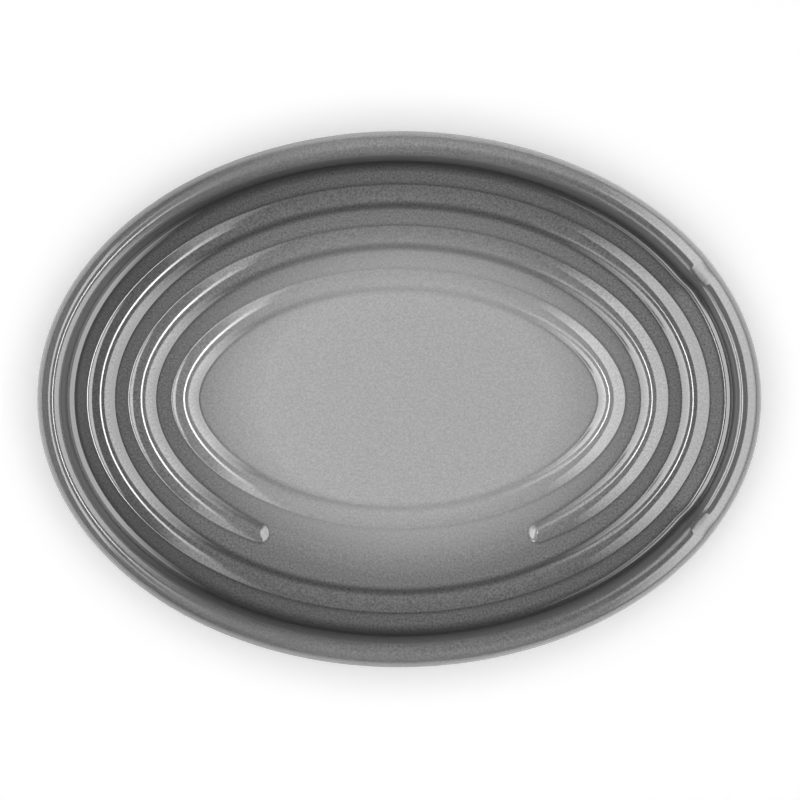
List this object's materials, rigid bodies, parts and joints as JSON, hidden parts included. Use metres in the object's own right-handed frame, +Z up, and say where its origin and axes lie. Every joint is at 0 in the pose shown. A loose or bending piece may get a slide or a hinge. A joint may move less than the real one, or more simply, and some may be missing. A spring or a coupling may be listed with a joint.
{
  "type": "spoon rest",
  "caption": "Oval glazed stoneware dish with a rounded rim, raised floor rings and a lowered stretch of rim, for resting a cooking spoon and catching its drips.",
  "frame": {"origin": "centre of the dish's footprint, on the table that it stands on", "axes": "+X along the dish towards the lowered stretch of rim, +Z up"},
  "size_m": [0.16, 0.1184, 0.02],
  "materials": {
    "stoneware": "matte",
    "inside_glaze": "gloss",
    "outside_glaze": "gloss",
    "underside_glaze": "gloss"
  },
  "bodies": {
    "root": {"stoneware_body": "stoneware", "inside_glaze": "inside_glaze", "outside_glaze": "outside_glaze", "underside_glaze": "underside_glaze"}
  },
  "joints": []
}
